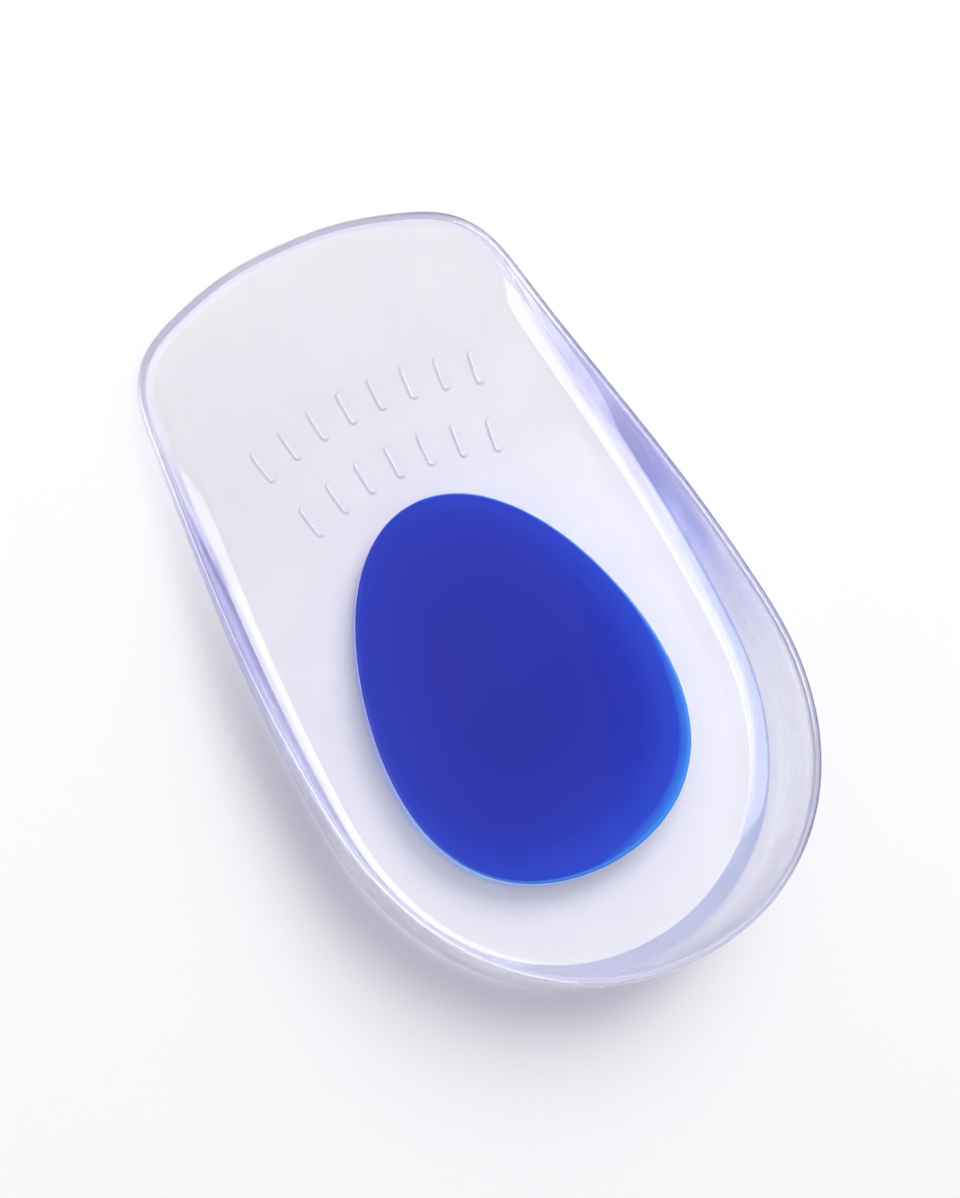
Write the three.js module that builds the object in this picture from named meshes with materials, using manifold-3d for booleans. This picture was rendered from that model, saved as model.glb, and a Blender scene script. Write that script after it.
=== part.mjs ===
// A gel heel cup: a clear, soft moulding that cradles the heel inside a shoe, with an
// egg-shaped plug of softer blue gel set into its sole where the heel bone presses.
// Millimetres, +Z up. Y runs from the back of the heel (-Y) to the thin front edge (+Y), and the
// origin lies on the surface that the cup rests on, under the middle of its length and width.

import * as THREE from 'three';
import { mergeVertices } from 'three/addons/utils/BufferGeometryUtils.js';
import Module from 'manifold-3d';

// Plan of the cup, measured over the rim.
const CUP_LENGTH = 106;
const CUP_WIDTH = 63.4;
const WIDEST_FROM_HEEL = 36.2;
const HEEL_FULLNESS = 0.58;
const CORNER_WIDTH = 52.9;
const CORNER_FROM_HEEL = 91.9;
const CORNER_TAPER = 0.127;
const FRONT_FLAT_WIDTH = 37.3;
const FRONT_BOW = 3.6;
// How far the outline's curves are pulled along the side, round the corner and along the front edge.
const CORNER_PULL = 0.4;
const FRONT_PULL = 0.3;

// Wall and sole.
const RIM_THICKNESS = 1.0;
const POCKET_SKIN = 1.2;
// The outer wall is a curve from the sole's lower edge up to the rim. The inner wall bends in a little
// on its way down, and a sloping foot carries it into the sole. As the wall gets low, the foot eases
// off to a share of its height. Each curve's middle control point is a share of its run and its rise.
const OUTER_WALL_PULL = new THREE.Vector2(0.15, 0.25);
const WALL_BEND = 1.6;
const FOOT_WIDTH = 2.2;
const FOOT_RISE = 1.5;
const LOW_FOOT_SHARE = 0.7;
const FOOT_PULL = new THREE.Vector2(0.38, 0.5);

// The sections run from the back of the heel to the front edge. along is the share of the length,
// rim the height of the rim, sole the thickness of the sole, and the insets say how far inside the
// rim's outline the sole's lower edge and the foot of the inner wall lie.
const SECTIONS = [
  { along: 0.0, rim: 24.4, sole: 5.0, lowerInset: 4.8, innerInset: 5.7 },
  { along: 0.2, rim: 19.8, sole: 5.0, lowerInset: 4.0, innerInset: 5.2 },
  { along: 0.4, rim: 14.4, sole: 5.0, lowerInset: 3.1, innerInset: 5.0 },
  { along: 0.5, rim: 11.6, sole: 4.8, lowerInset: 2.6, innerInset: 4.9 },
  { along: 0.6, rim: 8.9, sole: 4.3, lowerInset: 2.1, innerInset: 4.7 },
  { along: 0.7, rim: 6.5, sole: 3.7, lowerInset: 1.7, innerInset: 4.5 },
  { along: 0.8, rim: 4.7, sole: 3.1, lowerInset: 1.4, innerInset: 4.3 },
  { along: 0.9, rim: 3.4, sole: 2.7, lowerInset: 1.2, innerInset: 4.1 },
  { along: 1.0, rim: 2.6, sole: 2.4, lowerInset: 1.1, innerInset: 3.9 },
];

// The blue plug. Its blunt end points to the heel, and it swells slightly above the sole.
const SPOT_LENGTH = 52;
const SPOT_WIDTH = 40.6;
const SPOT_FROM_HEEL = 42.2;
const SPOT_BLUNTNESS = 0.182;
const SPOT_FULLNESS = 0.095;
const SPOT_SWELL = 0.5;
const SPOT_EDGE_DROP = 0.3;
const SPOT_SHOULDER = 0.98;
const SPOT_CROWN = 0.09;
const FIT_GAP = 0.3;

// Two bowed rows of short raised ribs on the sole, in front of the plug.
const RIB_LENGTH = 5;
const RIB_WIDTH = 1.5;
const RIB_RISE = 1.0;
const RIB_ROOT = 0.8;
const RIB_ROWS = [
  { fromHeel: 74, ribs: 7, pitch: 4.4, bow: 2.4, fan: 0.18 },
  { fromHeel: 83, ribs: 8, pitch: 4.4, bow: 2.4, fan: 0.18 },
];

// How finely the surfaces are divided.
const SIDE_STEPS = 44;
const WALL_STEPS = 6;
const FOOT_STEPS = 2;
const RIM_STEPS = 2;
const FLOOR_STEPS = 4;
const SPOT_STEPS = 60;
const SPOT_RINGS = 4;
const RIB_END_STEPS = 5;
const MERGE_DISTANCE = 1e-4;

const heelY = -CUP_LENGTH / 2;
const frontY = CUP_LENGTH / 2;
const spotY = heelY + SPOT_FROM_HEEL;

// All columns of the section table at one place along the cup, on a smooth curve through the rows.
const columns = ['rim', 'sole', 'lowerInset', 'innerInset'];
const sectionCurve = new THREE.CubicInterpolant(
  SECTIONS.map((row) => row.along),
  SECTIONS.flatMap((row) => columns.map((name) => row[name])),
  columns.length,
);

function sectionAt(y) {
  const along = THREE.MathUtils.clamp((y - heelY) / CUP_LENGTH, 0, 1);
  const values = Array.from(sectionCurve.evaluate(along));
  return Object.fromEntries(columns.map((name, i) => [name, values[i]]));
}

// Half of the rim's outline, from the back of the heel round to the middle of the front edge.
function halfOutline() {
  const wide = CUP_WIDTH / 2;
  const wideY = heelY + WIDEST_FROM_HEEL;
  const corner = new THREE.Vector2(CORNER_WIDTH / 2, heelY + CORNER_FROM_HEEL);
  const front = new THREE.Vector2(FRONT_FLAT_WIDTH / 2, frontY - FRONT_BOW);
  const alongSide = new THREE.Vector2(-CORNER_TAPER, 1).normalize();
  const alongFront = new THREE.Vector2(1, (-2 * FRONT_BOW) / front.x).normalize();
  const heelPull = HEEL_FULLNESS * WIDEST_FROM_HEEL;
  const sidePull = CORNER_PULL * (corner.y - wideY);
  const cornerPull = CORNER_PULL * corner.distanceTo(front);

  const path = new THREE.Path();
  path.moveTo(0, heelY);
  path.bezierCurveTo(HEEL_FULLNESS * wide, heelY, wide, wideY - heelPull, wide, wideY);
  const sideEnd = corner.clone().addScaledVector(alongSide, -sidePull);
  path.bezierCurveTo(wide, wideY + sidePull, sideEnd.x, sideEnd.y, corner.x, corner.y);
  const turnIn = corner.clone().addScaledVector(alongSide, cornerPull);
  const turnOut = front.clone().addScaledVector(alongFront, cornerPull);
  path.bezierCurveTo(turnIn.x, turnIn.y, turnOut.x, turnOut.y, front.x, front.y);
  const bowStart = front.clone().addScaledVector(alongFront, -front.x / 2);
  path.bezierCurveTo(bowStart.x, bowStart.y, FRONT_PULL * front.x, frontY, 0, frontY);
  return path;
}

// Stations round the whole rim, counter-clockwise from above, each with its inward direction.
function rimStations() {
  const right = halfOutline().getSpacedPoints(SIDE_STEPS);
  right[0].x = 0;
  right[SIDE_STEPS].x = 0;
  const left = right.slice(1, -1).reverse();
  const loop = [...right, ...left.map((p) => new THREE.Vector2(-p.x, p.y))];
  return loop.map((point, i) => {
    const before = loop[(i + loop.length - 1) % loop.length];
    const after = loop[(i + 1) % loop.length];
    const along = after.clone().sub(before).normalize();
    const inward = new THREE.Vector2(-along.y, along.x);
    return { point, inward, ...sectionAt(point.y) };
  });
}

// A point of the plug's egg outline. angle is 90 degrees at the heel end and 0 at the right side.
function eggPoint(angle, shrink = 0) {
  const side = Math.sin(angle);
  const shape = 1 + SPOT_BLUNTNESS * side + SPOT_FULLNESS * (side * side - 0.5);
  const x = (SPOT_WIDTH / 2 - shrink) * Math.cos(angle) * shape;
  const y = spotY - (SPOT_LENGTH / 2 - shrink) * side;
  return new THREE.Vector2(x, y);
}

// A closed solid from rings of equal count: the first and last rings are capped flat.
function loftRings(rings) {
  const count = rings[0].length;
  const positions = rings.flat().flatMap((p) => [p.x, p.y, p.z]);
  const faces = [];
  for (let level = 0; level < rings.length - 1; level += 1) {
    for (let i = 0; i < count; i += 1) {
      const next = (i + 1) % count;
      const low = level * count;
      const high = low + count;
      faces.push(low + i, low + next, high + next, low + i, high + next, high + i);
    }
  }
  const flat = (ring) => ring.map((p) => new THREE.Vector2(p.x, p.y));
  const last = (rings.length - 1) * count;
  for (const [a, b, c] of THREE.ShapeUtils.triangulateShape(flat(rings[0]), [])) {
    faces.push(a, c, b);
  }
  for (const [a, b, c] of THREE.ShapeUtils.triangulateShape(flat(rings.at(-1)), [])) {
    faces.push(last + a, last + b, last + c);
  }
  const geometry = new THREE.BufferGeometry();
  geometry.setAttribute('position', new THREE.Float32BufferAttribute(positions, 3));
  geometry.setIndex(faces);
  return geometry;
}

// The cup as one skin: lower edge, outer wall, rim, inner wall, sole, then down into the pocket.
function cupGeometry() {
  const stations = rimStations();
  const half = RIM_THICKNESS / 2;
  const at = (station, inset) => station.point.clone().addScaledVector(station.inward, inset);
  const ring = (inset, height) => stations.map((station) => {
    const p = at(station, inset(station));
    return new THREE.Vector3(p.x, p.y, height(station));
  });
  const floorHeight = (station) => sectionAt(at(station, station.innerInset).y).sole;
  const innerDrop = (station) => Math.min(half, (station.rim - floorHeight(station)) / 2);
  const rings = [];

  const outerWall = new THREE.QuadraticBezierCurve(
    new THREE.Vector2(1, 0),
    OUTER_WALL_PULL,
    new THREE.Vector2(0, 1),
  );
  for (const share of outerWall.getPoints(WALL_STEPS)) {
    rings.push(ring((s) => s.lowerInset * share.x, (s) => (s.rim - half) * share.y));
  }
  for (let i = 1; i <= RIM_STEPS; i += 1) {
    const turn = (i / RIM_STEPS) * (Math.PI / 2);
    rings.push(ring(() => half * (1 - Math.cos(turn)), (s) => s.rim - half * (1 - Math.sin(turn))));
  }
  for (let i = 1; i <= RIM_STEPS; i += 1) {
    const turn = (i / RIM_STEPS) * (Math.PI / 2);
    rings.push(ring(
      () => half * (1 + Math.sin(turn)),
      (s) => s.rim - innerDrop(s) * (1 - Math.cos(turn)),
    ));
  }
  const innerTop = (station) => station.rim - innerDrop(station);
  const kneeInset = (station) => station.innerInset - FOOT_WIDTH;
  const wallHeight = (station) => innerTop(station) - floorHeight(station);
  const kneeRise = (station) => {
    const lowRise = LOW_FOOT_SHARE * wallHeight(station);
    return (FOOT_RISE * lowRise) / Math.cbrt(FOOT_RISE ** 3 + lowRise ** 3);
  };
  for (let i = 1; i <= WALL_STEPS; i += 1) {
    const share = i / WALL_STEPS;
    rings.push(ring(
      (s) => RIM_THICKNESS + (kneeInset(s) - RIM_THICKNESS) * share ** WALL_BEND,
      (s) => innerTop(s) - (wallHeight(s) - kneeRise(s)) * share,
    ));
  }
  const wallFoot = new THREE.QuadraticBezierCurve(
    new THREE.Vector2(0, 1),
    FOOT_PULL,
    new THREE.Vector2(1, 0),
  );
  for (const share of wallFoot.getPoints(FOOT_STEPS).slice(1)) {
    rings.push(ring(
      (s) => kneeInset(s) + FOOT_WIDTH * share.x,
      (s) => floorHeight(s) + kneeRise(s) * share.y,
    ));
  }
  const pocketEdge = stations.map((_, i) => eggPoint(Math.PI / 2 - (2 * Math.PI * i) / stations.length));
  for (let i = 1; i <= FLOOR_STEPS; i += 1) {
    rings.push(stations.map((station, k) => {
      const p = at(station, station.innerInset).lerp(pocketEdge[k], i / FLOOR_STEPS);
      return new THREE.Vector3(p.x, p.y, sectionAt(p.y).sole);
    }));
  }
  rings.push(pocketEdge.map((p) => new THREE.Vector3(p.x, p.y, POCKET_SKIN)));
  return loftRings(rings);
}

// The plug: flat underneath, straight sides, an eased top edge and a gentle swell to the middle.
function spotGeometry() {
  const angles = Array.from({ length: SPOT_STEPS }, (_, i) => Math.PI / 2 - (2 * Math.PI * i) / SPOT_STEPS);
  const ring = (scale, height) => angles.map((angle) => {
    const p = eggPoint(angle, FIT_GAP);
    const x = p.x * scale;
    const y = spotY + (p.y - spotY) * scale;
    return new THREE.Vector3(x, y, height(y));
  });
  const rings = [
    ring(1, () => POCKET_SKIN + FIT_GAP),
    ring(1, (y) => sectionAt(y).sole - SPOT_EDGE_DROP),
  ];
  for (let i = 0; i <= SPOT_RINGS; i += 1) {
    const scale = THREE.MathUtils.lerp(SPOT_SHOULDER, SPOT_CROWN, i / SPOT_RINGS);
    rings.push(ring(scale, (y) => sectionAt(y).sole + SPOT_SWELL * (1 - scale * scale)));
  }
  return loftRings(rings);
}

// One rib: a bar with round ends, standing on the sole and rooted a little below its surface.
function ribGeometry(x, y, turn) {
  const radius = RIB_WIDTH / 2;
  const reach = RIB_LENGTH / 2 - radius;
  const bar = new THREE.Shape();
  bar.absarc(0, reach, radius, 0, Math.PI, false);
  bar.absarc(0, -reach, radius, Math.PI, 2 * Math.PI, false);
  bar.closePath();
  const geometry = new THREE.ExtrudeGeometry(bar, {
    depth: RIB_ROOT + RIB_RISE,
    bevelEnabled: false,
    curveSegments: RIB_END_STEPS,
  });
  geometry.rotateZ(turn);
  geometry.translate(x, y, sectionAt(y).sole - RIB_ROOT);
  return geometry;
}

function ribRow(row) {
  return Array.from({ length: row.ribs }, (_, i) => {
    const place = i - (row.ribs - 1) / 2;
    const share = place / ((row.ribs - 1) / 2);
    const y = heelY + row.fromHeel - row.bow * share * share;
    return ribGeometry(place * row.pitch, y, -row.fan * share);
  });
}

const wasm = await Module();
wasm.setup();

function toSolid(geometry) {
  const bare = geometry.clone();
  bare.deleteAttribute('normal');
  bare.deleteAttribute('uv');
  const merged = mergeVertices(bare, MERGE_DISTANCE);
  return new wasm.Manifold(new wasm.Mesh({
    numProp: 3,
    vertProperties: new Float32Array(merged.attributes.position.array),
    triVerts: new Uint32Array(merged.index.array),
  }));
}

function toGeometry(solid) {
  const mesh = solid.getMesh();
  const geometry = new THREE.BufferGeometry();
  geometry.setAttribute('position', new THREE.BufferAttribute(mesh.vertProperties, 3));
  geometry.setIndex(new THREE.BufferAttribute(mesh.triVerts, 1));
  geometry.computeVertexNormals();
  return geometry;
}

// The ribs are part of the same moulding as the cup, so they are joined to it.
let cupSolid = toSolid(cupGeometry());
for (const rib of RIB_ROWS.flatMap(ribRow)) {
  cupSolid = cupSolid.add(toSolid(rib));
}

const clearGel = new THREE.MeshStandardMaterial({
  color: 0xdedcec,
  roughness: 0.12,
  metalness: 0,
  transparent: true,
  opacity: 0.4,
});
const blueGel = new THREE.MeshStandardMaterial({ color: 0x2d37be, roughness: 0.3, metalness: 0 });

const gelCup = new THREE.Mesh(toGeometry(cupSolid), clearGel);
gelCup.name = 'gel_cup';

const heelSpot = new THREE.Mesh(toGeometry(toSolid(spotGeometry())), blueGel);
heelSpot.name = 'heel_spot';

const heelCup = new THREE.Group();
heelCup.add(gelCup, heelSpot);

export default heelCup;
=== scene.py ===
import math

import bmesh
import bpy
import numpy as np
from mathutils import Matrix, Quaternion, Vector
from mathutils.geometry import interpolate_bezier


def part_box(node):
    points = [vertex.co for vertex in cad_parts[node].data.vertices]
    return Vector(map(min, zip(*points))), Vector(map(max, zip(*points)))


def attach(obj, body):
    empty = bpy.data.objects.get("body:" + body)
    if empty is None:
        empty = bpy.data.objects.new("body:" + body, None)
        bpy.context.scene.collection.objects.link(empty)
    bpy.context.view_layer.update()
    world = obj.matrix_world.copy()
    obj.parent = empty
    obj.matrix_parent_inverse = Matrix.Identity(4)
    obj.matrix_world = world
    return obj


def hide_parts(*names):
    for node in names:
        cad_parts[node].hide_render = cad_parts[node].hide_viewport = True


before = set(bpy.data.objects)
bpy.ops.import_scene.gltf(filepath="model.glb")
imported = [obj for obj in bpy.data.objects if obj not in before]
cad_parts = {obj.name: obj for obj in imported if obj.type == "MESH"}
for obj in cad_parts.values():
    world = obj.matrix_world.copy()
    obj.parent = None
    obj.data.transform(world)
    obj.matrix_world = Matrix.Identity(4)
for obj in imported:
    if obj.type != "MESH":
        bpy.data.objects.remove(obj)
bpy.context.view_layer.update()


# Clear cup: one soft moulding of silicone gel, cast in a polished mould. A flat sole runs up into a
# heel bowl whose wall falls away to a thin front edge, the rim is rounded, and an egg-shaped pocket
# in the sole takes the blue spot. The gel is bonded to the spot, so the pocket fits it closely.
MM = 0.001
cup_low, cup_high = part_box("gel_cup")
heel_y = cup_low.y
front_y = cup_high.y
cup_length = front_y - heel_y
half_width = cup_high.x

# Plan of the rim. The fullness and the pulls say how far each curve keeps its first direction.
widest_from_heel = 36.2 * MM
heel_fullness = 0.58
corner_half_width = 26.45 * MM
corner_from_heel = 91.9 * MM
corner_taper = 0.127
corner_pull = 0.4
front_half_width = 18.65 * MM
front_bow = 3.6 * MM
front_pull = 0.3
side_steps = 48
curve_steps = 200

# Share of the length from the heel, then in millimetres the rim's height, the sole's thickness, and
# how far inside the rim's outline the sole's lower edge and the foot of the inner wall lie.
section_columns = ("along", "rim", "sole", "lower_inset", "inner_inset")
section_rows = (
    (0.0, 24.4, 5.0, 4.8, 5.7),
    (0.2, 19.8, 5.0, 4.0, 5.2),
    (0.4, 14.4, 5.0, 3.1, 5.0),
    (0.5, 11.6, 4.8, 2.6, 4.9),
    (0.6, 8.9, 4.3, 2.1, 4.7),
    (0.7, 6.5, 3.7, 1.7, 4.5),
    (0.8, 4.7, 3.1, 1.4, 4.3),
    (0.9, 3.4, 2.7, 1.2, 4.1),
    (1.0, 2.6, 2.4, 1.1, 3.9),
)
sections = dict(zip(section_columns, np.array(section_rows).T))


def section_at(column, y):
    """One column of the section table at the places y, on a smooth curve through its rows."""
    along = np.clip((np.asarray(y) - heel_y) / cup_length, 0, 1)
    rows = sections["along"]
    values = sections[column] * MM
    slopes = np.gradient(values, rows)
    i = np.clip(np.searchsorted(rows, along, side="right") - 1, 0, len(rows) - 2)
    step = rows[i + 1] - rows[i]
    t = (along - rows[i]) / step
    start = (1 + 2 * t) * (1 - t) ** 2 * values[i] + t * (1 - t) ** 2 * step * slopes[i]
    end = t * t * (3 - 2 * t) * values[i + 1] - t * t * (1 - t) * step * slopes[i + 1]
    return start + end


def rim_outline():
    """Points round the rim seen from above, from the back of the heel round to the right and back."""
    heel = Vector((0, heel_y))
    widest = Vector((half_width, heel_y + widest_from_heel))
    corner = Vector((corner_half_width, heel_y + corner_from_heel))
    front = Vector((front_half_width, front_y - front_bow))
    middle = Vector((0, front_y))
    along_side = Vector((-corner_taper, 1)).normalized()
    along_front = Vector((1, -2 * front_bow / front_half_width)).normalized()
    heel_out = heel + Vector((heel_fullness * half_width, 0))
    heel_up = widest - Vector((0, heel_fullness * widest_from_heel))
    side_pull = corner_pull * (corner.y - widest.y)
    turn_pull = corner_pull * (corner - front).length
    front_end = Vector((front_pull * front.x, front_y))
    spans = (
        (heel, heel_out, heel_up, widest),
        (widest, widest + Vector((0, side_pull)), corner - along_side * side_pull, corner),
        (corner, corner + along_side * turn_pull, front + along_front * turn_pull, front),
        (front, front - along_front * front.x / 2, front_end, middle),
    )
    fine = np.array([point for span in spans for point in interpolate_bezier(*span, curve_steps)])[:, :2]
    travelled = np.r_[0, np.cumsum(np.linalg.norm(np.diff(fine, axis=0), axis=1))]
    stops = np.linspace(0, travelled[-1], side_steps + 1)
    right = np.c_[np.interp(stops, travelled, fine[:, 0]), np.interp(stops, travelled, fine[:, 1])]
    left = right[1:-1][::-1] * (-1, 1)
    return np.vstack([right, left])


outline = rim_outline()
station_count = len(outline)
along_rim = np.roll(outline, -1, axis=0) - np.roll(outline, 1, axis=0)
along_rim /= np.linalg.norm(along_rim, axis=1)[:, None]
inward = np.c_[-along_rim[:, 1], along_rim[:, 0]]
rim_height = section_at("rim", outline[:, 1])
lower_inset = section_at("lower_inset", outline[:, 1])
inner_inset = section_at("inner_inset", outline[:, 1])
floor_edge = outline + inward * inner_inset[:, None]
floor_height = section_at("sole", floor_edge[:, 1])

# The spot's outline is an egg with its blunt end to the heel. Its box gives the length and the place.
spot_low, spot_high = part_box("heel_spot")
fit_gap = 0.3 * MM
spot_y = (spot_low.y + spot_high.y) / 2
spot_half_length = (spot_high.y - spot_low.y) / 2 + fit_gap
spot_half_width = 20.3 * MM
egg_bluntness = 0.182
egg_fullness = 0.095


def egg(count, grow=0.0, scale=1.0):
    """The egg's outline, from its heel end round to the right. grow moves it out, scale shrinks it."""
    angle = math.pi / 2 - 2 * math.pi * np.arange(count) / count
    heelward = np.sin(angle)
    shape = 1 + egg_bluntness * heelward + egg_fullness * (heelward ** 2 - 0.5)
    x = (spot_half_width + grow) * np.cos(angle) * shape
    y = -(spot_half_length + grow) * heelward
    return np.c_[x * scale, spot_y + y * scale]


def on_rim(inset, height):
    """One ring of corners at the given inset from the rim's outline and the given height."""
    plan = outline + inward * np.broadcast_to(inset, station_count)[:, None]
    return np.c_[plan, np.broadcast_to(height, station_count)]


def on_sole(plan, rise=0.0):
    """One ring of corners that lies on the sole's upper surface, or a little above or below it."""
    return np.c_[plan, section_at("sole", plan[:, 1]) + rise]


def level(plan, height):
    """One ring of corners at one height."""
    return np.c_[plan, np.full(len(plan), height)]


def loft(name, rings, marks, cap_insets):
    """A closed, smooth mesh: a capped disc at the first ring, extruded from ring to ring and filled.

    marks holds lists of one value a ring, by name. They are kept on the corners, for the material.
    """
    bm = bmesh.new()
    count = len(rings[0])
    station = bm.verts.layers.int.new("station")
    layers = {mark: bm.verts.layers.float.new(mark) for mark in marks}
    disc = bmesh.ops.create_circle(bm, cap_ends=True, segments=count, radius=1)["verts"]
    for number, vert in enumerate(disc):
        vert[station] = number
        vert.co = rings[0][number]
        for mark, layer in layers.items():
            vert[layer] = marks[mark][0]
    first_cap = bm.faces[:]
    edge_ring = bm.edges[:]
    for place, ring in enumerate(rings[1:], 1):
        made = bmesh.ops.extrude_edge_only(bm, edges=edge_ring)["geom"]
        corners = {item for item in made if isinstance(item, bmesh.types.BMVert)}
        for vert in corners:
            vert.co = ring[vert[station]]
            for mark, layer in layers.items():
                vert[layer] = marks[mark][place]
        edges = [item for item in made if isinstance(item, bmesh.types.BMEdge)]
        edge_ring = [edge for edge in edges if corners.issuperset(edge.verts)]
    last_cap = bmesh.ops.edgeloop_fill(bm, edges=edge_ring)["faces"]
    for cap in (first_cap, last_cap):
        for inset in cap_insets:
            bmesh.ops.inset_region(bm, faces=cap, thickness=inset)
    return finished(bm, name)


def finished(bm, name):
    """The mesh's object, with its faces pointing out and shaded smooth."""
    bmesh.ops.recalc_face_normals(bm, faces=bm.faces)
    for face in bm.faces:
        face.smooth = True
    mesh = bpy.data.meshes.new(name)
    bm.to_mesh(mesh)
    bm.free()
    piece = bpy.data.objects.new(name, mesh)
    bpy.context.scene.collection.objects.link(piece)
    return piece


def subdivide(piece, levels):
    """A Subdivision Surface modifier that rounds the control mesh."""
    rounding = piece.modifiers.new("Rounding", "SUBSURF")
    rounding.levels = levels
    rounding.render_levels = levels


# The skin starts at the sole's lower edge and runs up the outer wall. The wall is a curve with one
# control point, given as shares of its run and rise. Its lowest stretch, below the wall's start, goes
# over from the sole's colour to the wall's.
rim_thickness = 1.0 * MM
half_rim = rim_thickness / 2
lower_edge_radius = 0.5 * MM
outer_wall_pull = (0.15, 0.25)
wall_steps = 10
lowest_steps = (0.0, 0.06)
wall_start = 0.15
cup_rings = [on_rim(lower_inset + lower_edge_radius, 0.0)]
cup_zones = [0.0]
for t in (*lowest_steps, *np.linspace(wall_start, 1, wall_steps)):
    bulge = 2 * t * (1 - t)
    inset_share = (1 - t) ** 2 + outer_wall_pull[0] * bulge
    height_share = t * t + outer_wall_pull[1] * bulge
    cup_rings.append(on_rim(lower_inset * inset_share, (rim_height - half_rim) * height_share))
    cup_zones.append(min(1.0, t / wall_start))

# Over the rounded rim, in two quarter turns. At the low front its inner side drops less.
rim_start = len(cup_rings)
inner_drop = np.minimum(half_rim, (rim_height - floor_height) / 2)
quarter_turn = np.linspace(0, math.pi / 2, 4)[1:]
for turn in quarter_turn:
    outer_fall = half_rim * (1 - math.sin(turn))
    cup_rings.append(on_rim(half_rim * (1 - math.cos(turn)), rim_height - outer_fall))
for turn in quarter_turn:
    inner_fall = inner_drop * (1 - math.cos(turn))
    cup_rings.append(on_rim(half_rim * (1 + math.sin(turn)), rim_height - inner_fall))

# Down the inner wall and its sloping foot. As the wall gets low, the foot eases off to a share of it.
wall_bend = 1.6
foot_steps = 5
foot_width = 2.2 * MM
foot_rise = 1.5 * MM
low_foot_share = 0.7
foot_curve = ((0, 1), (0.25, 0.67), (0.59, 0.33), (1, 0))
inner_top = rim_height - inner_drop
low_rise = low_foot_share * (inner_top - floor_height)
knee_rise = foot_rise * low_rise / np.cbrt(foot_rise ** 3 + low_rise ** 3)
knee_inset = inner_inset - foot_width
knee_height = floor_height + knee_rise
for share in np.linspace(0, 1, wall_steps + 1)[1:]:
    wall_inset = rim_thickness + (knee_inset - rim_thickness) * share ** wall_bend
    cup_rings.append(on_rim(wall_inset, inner_top + (knee_height - inner_top) * share))
cup_zones += [1.0] * (len(cup_rings) - len(cup_zones))
for spread, rise in interpolate_bezier(*foot_curve, foot_steps + 1)[1:]:
    cup_rings.append(on_rim(knee_inset + foot_width * spread, floor_height + knee_rise * rise))

# Across the sole, over the pocket's eased lip and down to the skin of gel that closes it below. Each
# step of the lip says how far it lies outside the pocket's edge and below the sole, in shares of the lip.
sole_shares = (0.05, 0.15, 0.3, 0.5, 0.7, 0.88, 1.0)
pocket_lip = 0.15 * MM
lip_steps = ((1.0, 0.0), (0.3, 0.3), (0.0, 1.0))
pocket_skin = 1.2 * MM
pocket_outer = egg(station_count, grow=2 * pocket_lip)
for share in sole_shares:
    cup_rings.append(on_sole(floor_edge + (pocket_outer - floor_edge) * share))
for outside, below in lip_steps:
    lip_plan = egg(station_count, grow=outside * pocket_lip)
    cup_rings.append(on_sole(lip_plan, -below * pocket_lip))
for height in (pocket_skin + pocket_lip, pocket_skin):
    cup_rings.append(level(egg(station_count), height))
cup_zones += [0.0] * (len(cup_rings) - len(cup_zones))

# The rim's outer edge is marked for a thin painted dark line, painted shade along that edge.
rim_shade_strengths = (1.0, 1.0, 1.0, 0.5)
rim_shade_start = rim_start - 1
painted_rim_shade = [0.0] * len(cup_rings)
painted_rim_shade[rim_shade_start:rim_shade_start + len(rim_shade_strengths)] = rim_shade_strengths

# The flat underside and the pocket's floor are inset, so that they stay flat when the mesh is rounded.
cup_marks = {"zone": cup_zones, "painted_rim_shade": painted_rim_shade}
cup_cap_insets = (0.4 * MM, 2.5 * MM, 5 * MM)
gel_cup = loft("clear_gel_cup", cup_rings, cup_marks, cup_cap_insets)
subdivide(gel_cup, levels=2)

# Two bowed rows of short raised ribs on the sole, in front of the spot, cast in one with the cup.
rib_length = 5 * MM
rib_width = 1.5 * MM
rib_rise = 1.0 * MM
rib_root = 0.8 * MM
rib_draft = 0.2 * MM
rib_edge = 0.2 * MM
rib_sides = 24
rib_pitch = 4.4 * MM
rib_bow = 2.4 * MM
rib_fan = 0.18
rib_rows = ((74 * MM, 7), (83 * MM, 8))
rib_corner_angle = 0.8
crease_angle = math.radians(40)
drawn_in = (1 - 2 * rib_draft / rib_width, 1 - 2 * rib_draft / rib_length, 1)
rib_bm = bmesh.new()
for from_heel, ribs in rib_rows:
    for place in np.linspace(-1, 1, ribs):
        disc = bmesh.ops.create_circle(rib_bm, cap_ends=True, segments=rib_sides, radius=rib_width / 2)
        bar = disc["verts"]
        for vert in bar:
            vert.co.y += np.sign(round(vert.co.y, 7)) * (rib_length - rib_width) / 2
        foot = bar[0].link_faces[:]
        bmesh.ops.translate(rib_bm, verts=bar, vec=(0, 0, -rib_root))
        raised = bmesh.ops.extrude_face_region(rib_bm, geom=foot)["geom"]
        top = [item for item in raised if isinstance(item, bmesh.types.BMVert)]
        bmesh.ops.translate(rib_bm, verts=top, vec=(0, 0, rib_root + rib_rise))
        bmesh.ops.scale(rib_bm, verts=top, vec=drawn_in)
        bar = bar + top
        rib_x = place * rib_pitch * (ribs - 1) / 2
        rib_y = heel_y + from_heel - rib_bow * place ** 2
        rib_z = float(section_at("sole", rib_y))
        fanned = Matrix.Rotation(-rib_fan * place, 3, "Z")
        bmesh.ops.rotate(rib_bm, verts=bar, matrix=fanned, cent=(0, 0, 0))
        bmesh.ops.translate(rib_bm, verts=bar, vec=(rib_x, rib_y, rib_z))
rib_corners = [
    edge for edge in rib_bm.edges if edge.is_manifold and edge.calc_face_angle() > rib_corner_angle
]
bmesh.ops.bevel(
    rib_bm, geom=rib_corners, offset=rib_edge, offset_type="OFFSET", affect="EDGES",
    segments=3, profile=0.5, material=-1,
)
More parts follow.
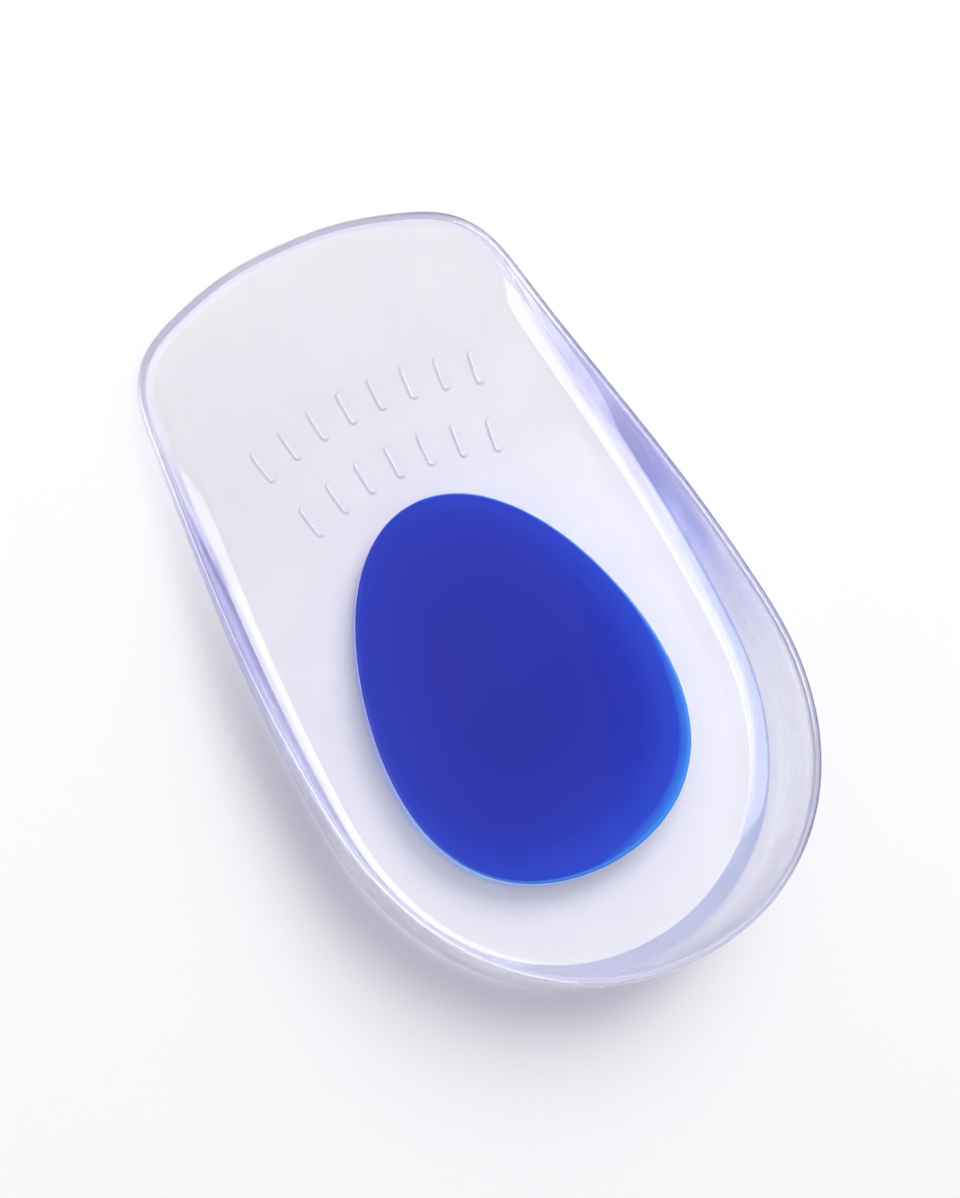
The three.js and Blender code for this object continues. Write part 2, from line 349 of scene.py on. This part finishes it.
rib_bars = finished(rib_bm, "ribs")
join = gel_cup.modifiers.new("Ribs", "BOOLEAN")
join.operation = "UNION"
join.solver = "EXACT"
join.object = rib_bars
shaped = gel_cup.evaluated_get(bpy.context.evaluated_depsgraph_get())
cup_mesh = bpy.data.meshes.new_from_object(shaped)
gel_cup.modifiers.clear()
gel_cup.data = cup_mesh
cup_mesh.set_sharp_from_angle(angle=crease_angle)
bpy.data.meshes.remove(rib_bars.data)
# The union leaves stray marks on the ribs. They belong to the sole.
rib_field_half_width = 20 * MM
rib_field_start = heel_y + 68 * MM
rib_field_end = heel_y + 90 * MM
for vert in cup_mesh.vertices:
    if abs(vert.co.x) < rib_field_half_width and rib_field_start < vert.co.y < rib_field_end:
        for mark in cup_marks:
            cup_mesh.attributes[mark].data[vert.index].value = 0.0

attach(gel_cup, "root")
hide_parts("gel_cup")


def gel_skin_group():
    """Surface of moulded gel: slow ripples, fine grain and faint smudges from handling."""
    group = bpy.data.node_groups.new("Moulded gel skin", "ShaderNodeTree")
    socket = group.interface.new_socket
    for name, value in (("Ripple Scale", 90.0), ("Ripple Height", 0.0002), ("Grain Height", 0.00001),
                        ("Smooth Roughness", 0.05), ("Smudged Roughness", 0.15)):
        socket(name, in_out="INPUT", socket_type="NodeSocketFloat").default_value = value
    socket("Roughness", in_out="OUTPUT", socket_type="NodeSocketFloat")
    socket("Normal", in_out="OUTPUT", socket_type="NodeSocketVector")
    nodes = group.nodes
    link = group.links.new
    given = nodes.new("NodeGroupInput")
    result = nodes.new("NodeGroupOutput")
    place = nodes.new("ShaderNodeTexCoord")

    ripple = nodes.new("ShaderNodeTexNoise")
    ripple.inputs["Detail"].default_value = 1.0
    ripple.inputs["Roughness"].default_value = 0.3
    link(place.outputs["Object"], ripple.inputs["Vector"])
    link(given.outputs["Ripple Scale"], ripple.inputs["Scale"])
    grain = nodes.new("ShaderNodeTexNoise")
    grain.inputs["Scale"].default_value = 1600.0
    grain.inputs["Detail"].default_value = 2.0
    link(place.outputs["Object"], grain.inputs["Vector"])
    ripple_bump = nodes.new("ShaderNodeBump")
    link(ripple.outputs["Fac"], ripple_bump.inputs["Height"])
    link(given.outputs["Ripple Height"], ripple_bump.inputs["Distance"])
    grain_bump = nodes.new("ShaderNodeBump")
    link(grain.outputs["Fac"], grain_bump.inputs["Height"])
    link(given.outputs["Grain Height"], grain_bump.inputs["Distance"])
    link(ripple_bump.outputs["Normal"], grain_bump.inputs["Normal"])
    link(grain_bump.outputs["Normal"], result.inputs["Normal"])

    smudge = nodes.new("ShaderNodeTexNoise")
    smudge.inputs["Scale"].default_value = 130.0
    smudge.inputs["Detail"].default_value = 5.0
    smudge.inputs["Roughness"].default_value = 0.6
    smudge.inputs["Distortion"].default_value = 0.6
    link(place.outputs["Object"], smudge.inputs["Vector"])
    spread = nodes.new("ShaderNodeMapRange")
    spread.interpolation_type = "SMOOTHSTEP"
    spread.inputs["From Min"].default_value = 0.45
    spread.inputs["From Max"].default_value = 0.75
    link(smudge.outputs["Fac"], spread.inputs["Value"])
    link(given.outputs["Smooth Roughness"], spread.inputs["To Min"])
    link(given.outputs["Smudged Roughness"], spread.inputs["To Max"])
    link(spread.outputs["Result"], result.inputs["Roughness"])
    return group


gel_skin = gel_skin_group()

clear_gel = bpy.data.materials.new("Clear silicone gel")
clear_gel.use_nodes = True
nodes = clear_gel.node_tree.nodes
link = clear_gel.node_tree.links.new
shader = nodes["Principled BSDF"]


def fade(value, start, end, low=0.0, interpolation="LINEAR"):
    """A share that goes from low to 1 as a value goes from start to end."""
    reach = nodes.new("ShaderNodeMapRange")
    reach.interpolation_type = interpolation
    reach.inputs["From Min"].default_value = start
    reach.inputs["From Max"].default_value = end
    reach.inputs["To Min"].default_value = low
    link(value, reach.inputs["Value"])
    return reach.outputs["Result"]


def combine(operation, *values):
    """A Math node. Each value is another node's output or a plain number."""
    node = nodes.new("ShaderNodeMath")
    node.operation = operation
    for socket, value in zip(node.inputs, values):
        if isinstance(value, bpy.types.NodeSocket):
            link(value, socket)
        else:
            socket.default_value = value
    return node.outputs["Value"]


def distance_along(place, direction):
    """How far a place lies along a direction."""
    node = nodes.new("ShaderNodeVectorMath")
    node.operation = "DOT_PRODUCT"
    node.inputs[1].default_value = direction
    link(place, node.inputs[0])
    return node.outputs["Value"]


def mark_value(name):
    """The value of a mark that the mesh keeps on its corners."""
    mark = nodes.new("ShaderNodeAttribute")
    mark.attribute_name = name
    return mark.outputs["Fac"]


def colour_ramp(value, stops):
    """A colour that changes with a value. stops are places between 0 and 1 and the colours there."""
    ramp = nodes.new("ShaderNodeValToRGB")
    for end, (place, colour) in zip(ramp.color_ramp.elements, (stops[0], stops[-1])):
        end.position = place
        end.color = colour
    for place, colour in stops[1:-1]:
        ramp.color_ramp.elements.new(place).color = colour
    link(value, ramp.inputs["Fac"])
    return ramp.outputs["Color"]


def colour_mix(share, first, second):
    """A colour mixed with a second one, plain or changing, by a share that changes over the surface."""
    mix = nodes.new("ShaderNodeMix")
    mix.data_type = "RGBA"
    link(share, mix.inputs["Factor"])
    link(first, mix.inputs["A"])
    if isinstance(second, tuple):
        mix.inputs["B"].default_value = second
    else:
        link(second, mix.inputs["B"])
    return mix.outputs["Result"]


# The sole is painted darker towards the front: painted shade. The walls are lavender half way along,
# partly the gel's own cast and partly painted shade, and the steep sides of the ribs carry painted shade.
gel_place = nodes.new("ShaderNodeTexCoord").outputs["Object"]
gel_axes = nodes.new("ShaderNodeSeparateXYZ")
link(gel_place, gel_axes.inputs["Vector"])
facing = nodes.new("ShaderNodeNewGeometry")
leaning = nodes.new("ShaderNodeSeparateXYZ")
link(facing.outputs["Normal"], leaning.inputs["Vector"])
along_cup = fade(gel_axes.outputs["Y"], start=heel_y, end=front_y)
# Painted shade: the sole darkens towards the front.
sole_painted_shade = colour_ramp(along_cup, (
    (0.25, (0.95, 0.945, 0.955, 1)),
    (0.50, (0.895, 0.89, 0.915, 1)),
    (0.80, (0.815, 0.795, 0.805, 1)),
))
# Lavender on the walls: partly the gel's own cast, partly painted shade for darker surroundings seen
# through them.
wall_tint_and_painted_shade = colour_ramp(along_cup, (
    (0.28, (0.97, 0.97, 1.0, 1)),
    (0.42, (0.80, 0.80, 0.98, 1)),
    (0.55, (0.42, 0.42, 0.76, 1)),
    (0.70, (0.42, 0.42, 0.74, 1)),
    (0.84, (0.86, 0.86, 0.95, 1)),
))
# Painted shade on the steep sides of the ribs.
rib_side_shade = (0.50, 0.49, 0.63, 1)
ribs_start_y = spot_high.y + 0.8 * MM
steep = fade(leaning.outputs["Z"], start=0.95, end=0.55)
past_spot = combine("GREATER_THAN", gel_axes.outputs["Y"], ribs_start_y)
rib_shade_share = combine("MULTIPLY", steep, past_spot)
on_wall = mark_value("zone")
sole_and_ribs = colour_mix(rib_shade_share, sole_painted_shade, rib_side_shade)
sole_and_wall = colour_mix(on_wall, sole_and_ribs, wall_tint_and_painted_shade)
# A thin dark line is painted on the rim's outer edge on the right: painted shade along that edge.
painted_rim_shade_colour = (0.11, 0.11, 0.21, 1)
right_side = fade(gel_axes.outputs["X"], start=8 * MM, end=24 * MM, interpolation="SMOOTHSTEP")
rim_shade_share = combine("MULTIPLY", mark_value("painted_rim_shade"), right_side)
link(colour_mix(rim_shade_share, sole_and_wall, painted_rim_shade_colour), shader.inputs["Base Color"])
shader.inputs["Transmission Weight"].default_value = 0.77
shader.inputs["IOR"].default_value = 1.41
skin = nodes.new("ShaderNodeGroup")
skin.node_tree = gel_skin
skin.inputs["Ripple Scale"].default_value = 60.0
skin.inputs["Ripple Height"].default_value = 0.00003
skin.inputs["Grain Height"].default_value = 0.00000015
skin.inputs["Smooth Roughness"].default_value = 0.12
skin.inputs["Smudged Roughness"].default_value = 0.22
link(skin.outputs["Roughness"], shader.inputs["Roughness"])
link(skin.outputs["Normal"], shader.inputs["Normal"])

# Light that falls through to the table passes straight on. Only the wall that leans out over the
# table, on the heel's left, holds some of it back, most of all near the table, so that a soft shadow
# lies round the foot.
rays = nodes.new("ShaderNodeLightPath")
falling = combine("MAXIMUM", rays.outputs["Is Shadow Ray"], rays.outputs["Is Diffuse Ray"])
heel_left = distance_along(gel_place, (-0.85, -0.53, 0))
overhang = fade(leaning.outputs["Z"], start=0.05, end=-0.1)
entering = combine("SUBTRACT", 1.0, facing.outputs["Backfacing"])
lee_side = fade(heel_left, start=0.0, end=34 * MM, low=0.1, interpolation="SMOOTHSTEP")
near_table = fade(gel_axes.outputs["Z"], start=13 * MM, end=4 * MM, low=0.25, interpolation="SMOOTHSTEP")
held_back = on_wall
for share in (overhang, entering, lee_side, near_table):
    held_back = combine("MULTIPLY", held_back, share)
passed_on = colour_ramp(held_back, ((0.0, (0.985, 0.985, 0.99, 1)), (1.0, (0.24, 0.22, 0.31, 1))))
light_through = nodes.new("ShaderNodeBsdfTransparent")
link(passed_on, light_through.inputs["Color"])
shadow_mix = nodes.new("ShaderNodeMixShader")
link(falling, shadow_mix.inputs["Fac"])
link(shader.outputs["BSDF"], shadow_mix.inputs[1])
link(light_through.outputs["BSDF"], shadow_mix.inputs[2])
link(shadow_mix.outputs["Shader"], nodes["Material Output"].inputs["Surface"])
tint = nodes.new("ShaderNodeVolumeAbsorption")
tint.inputs["Color"].default_value = (0.80, 0.795, 0.93, 1)
tint.inputs["Density"].default_value = 58.0
link(tint.outputs["Volume"], nodes["Material Output"].inputs["Volume"])
gel_cup.data.materials.append(clear_gel)


# Blue spot: a plug of softer gel, poured into the pocket and bonded there. It is full of pigment, so
# almost opaque, its top swells a little above the sole, and its edge is eased where it meets the gel.
spot_sides = 96
bond = 0.05 * MM
spot_swell = 0.5 * MM
spot_foot = 0.5 * MM
# The rings of the eased edge: their scale, how far they lie below the sole, and their zone, which is
# near 1 at the edge of the spot and falls to the middle.
edge_zone = 0.97
eased_edge = (
    (1.0, 1.0 * MM, edge_zone),
    (1.0, 0.45 * MM, edge_zone),
    (0.995, 0.15 * MM, 0.93),
)
crown_scales = (0.98, 0.95, 0.85, 0.7, 0.5, 0.3, 0.14)
crown_zone = 0.81
spot_foot_plan = egg(spot_sides, bond)
spot_rings = [level(spot_foot_plan, pocket_skin - bond), level(spot_foot_plan, pocket_skin + spot_foot)]
spot_zones = [edge_zone, edge_zone]
for scale, drop, zone in eased_edge:
    spot_rings.append(on_sole(egg(spot_sides, bond, scale), -drop))
    spot_zones.append(zone)
for scale in crown_scales:
    spot_rings.append(on_sole(egg(spot_sides, bond, scale), spot_swell * (1 - scale ** 2)))
    spot_zones.append(scale * crown_zone)

spot_cap_insets = (0.3 * MM, 0.8 * MM)
heel_spot = loft("blue_heel_spot", spot_rings, {"zone": spot_zones}, spot_cap_insets)
subdivide(heel_spot, levels=2)
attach(heel_spot, "root")
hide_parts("heel_spot")

# The pigment is uneven. The spot is lighter towards its edge, partly its thin gel and partly a painted
# highlight, and painted light makes it brightest at the heel's right.
blue_gel = bpy.data.materials.new("Blue soft gel")
blue_gel.use_nodes = True
nodes = blue_gel.node_tree.nodes
link = blue_gel.node_tree.links.new
shader = nodes["Principled BSDF"]
shader.inputs["IOR"].default_value = 1.41
shader.inputs["Specular IOR Level"].default_value = 0.12
spot_place = nodes.new("ShaderNodeTexCoord").outputs["Object"]
cloud = nodes.new("ShaderNodeTexNoise")
cloud.inputs["Scale"].default_value = 60.0
cloud.inputs["Detail"].default_value = 3.0
link(spot_place, cloud.inputs["Vector"])
cloud_strength = 0.06
lit_direction = (3.6, -3.0, 0)
uneven = combine("MULTIPLY_ADD", cloud.outputs["Fac"], cloud_strength, mark_value("zone"))
lit_side = combine("ADD", distance_along(spot_place, lit_direction), uneven)
# Painted light: brighter towards the heel's right and the edge, on top of the pigment's own blue.
pigment_and_painted_light = colour_ramp(lit_side, (
    (0.40, (0.015, 0.022, 0.35, 1)),
    (0.72, (0.015, 0.029, 0.43, 1)),
    (0.92, (0.022, 0.060, 0.59, 1)),
    (0.985, (0.05, 0.29, 0.90, 1)),
))
link(pigment_and_painted_light, shader.inputs["Base Color"])
skin = nodes.new("ShaderNodeGroup")
skin.node_tree = gel_skin
skin.inputs["Ripple Scale"].default_value = 60.0
skin.inputs["Ripple Height"].default_value = 0.0003
skin.inputs["Grain Height"].default_value = 0.000006
skin.inputs["Smooth Roughness"].default_value = 0.48
skin.inputs["Smudged Roughness"].default_value = 0.60
link(skin.outputs["Roughness"], shader.inputs["Roughness"])
link(skin.outputs["Normal"], shader.inputs["Normal"])
heel_spot.data.materials.append(blue_gel)


# Floor: a plain pale table top with a matt finish, far wider than the cup. It lies just below the
# sole, so that the two faces don't meet.
floor_half_size = 3.0
floor_gap = 0.2 * MM
floor_bm = bmesh.new()
bmesh.ops.create_grid(floor_bm, x_segments=1, y_segments=1, size=floor_half_size)
bmesh.ops.translate(floor_bm, verts=floor_bm.verts, vec=(0, 0, -floor_gap))
floor = finished(floor_bm, "pale_floor")
pale = bpy.data.materials.new("Pale table")
pale.use_nodes = True
pale_shader = pale.node_tree.nodes["Principled BSDF"]
pale_shader.inputs["Base Color"].default_value = (0.90, 0.90, 0.90, 1)
pale_shader.inputs["Roughness"].default_value = 0.7
floor.data.materials.append(pale)


# Light: a soft key high at the front right, which the gloss doesn't show, a large white card on the
# left and a long low one on the right, which show only in the gloss and through the gel, and a pale
# room that darkens to lavender towards the horizon.
def soft_light(name, place, aim, size, power, colour=(1.0, 1.0, 1.0)):
    """A rectangular light that faces the aim. size is its width and depth in metres."""
    lamp = bpy.data.lights.new(name, "AREA")
    lamp.shape = "RECTANGLE"
    lamp.size, lamp.size_y = size
    lamp.energy = power
    lamp.color = colour
    holder = bpy.data.objects.new(name, lamp)
    holder.location = place
    holder.rotation_euler = (Vector(aim) - Vector(place)).to_track_quat("-Z", "Y").to_euler()
    bpy.context.scene.collection.objects.link(holder)
    return holder


sole_middle = (0, 0, 0)
wall_middle = (0, 0, 10 * MM)
warm_white = (1.0, 0.98, 0.95)
key = soft_light("key", (0.28, 0.23, 0.62), sole_middle, size=(0.42, 0.42), power=3.4, colour=warm_white)
key.visible_glossy = False
left_card = soft_light("left card", (-0.34, 0.05, 0.40), wall_middle, size=(0.9, 0.62), power=14.0)
left_card.visible_diffuse = False
right_card = soft_light("right card", (0.48, 0.10, 0.22), wall_middle, size=(0.6, 0.24), power=1.8)
right_card.visible_diffuse = False

room = bpy.data.worlds.new("Pale room")
room.use_nodes = True
bpy.context.scene.world = room
nodes = room.node_tree.nodes
link = room.node_tree.links.new
room_place = nodes.new("ShaderNodeTexCoord")
upward = nodes.new("ShaderNodeSeparateXYZ")
link(room_place.outputs["Generated"], upward.inputs["Vector"])
sky = colour_ramp(upward.outputs["Z"], ((0.0, (0.62, 0.62, 0.88, 1)), (0.6, (0.95, 0.95, 1.0, 1))))
link(sky, nodes["Background"].inputs["Color"])
nodes["Background"].inputs["Strength"].default_value = 0.57


# Camera: almost straight down, a little from the cup's left, rolled so that the heel points down
# and to the right. A long lens keeps the perspective slight.
azimuth = math.radians(-66.3)
elevation = math.radians(73.7)
roll = math.radians(39.5)
camera_distance = 0.6
view_centre = Vector((1.84 * MM, 1.98 * MM, 0))
back = Vector((
    math.sin(azimuth) * math.cos(elevation),
    -math.cos(azimuth) * math.cos(elevation),
    math.sin(elevation),
))
turned = (-back).to_track_quat("-Z", "Y") @ Quaternion((0, 0, 1), roll)
lens = bpy.data.cameras.new("camera")
lens.lens = 142
camera = bpy.data.objects.new("camera", lens)
camera.rotation_mode = "QUATERNION"
camera.rotation_quaternion = turned
camera.location = turned @ view_centre + back * camera_distance
bpy.context.scene.collection.objects.link(camera)
bpy.context.scene.camera = camera
bpy.context.scene.view_settings.view_transform = "Standard"

bpy.context.view_layer.update()
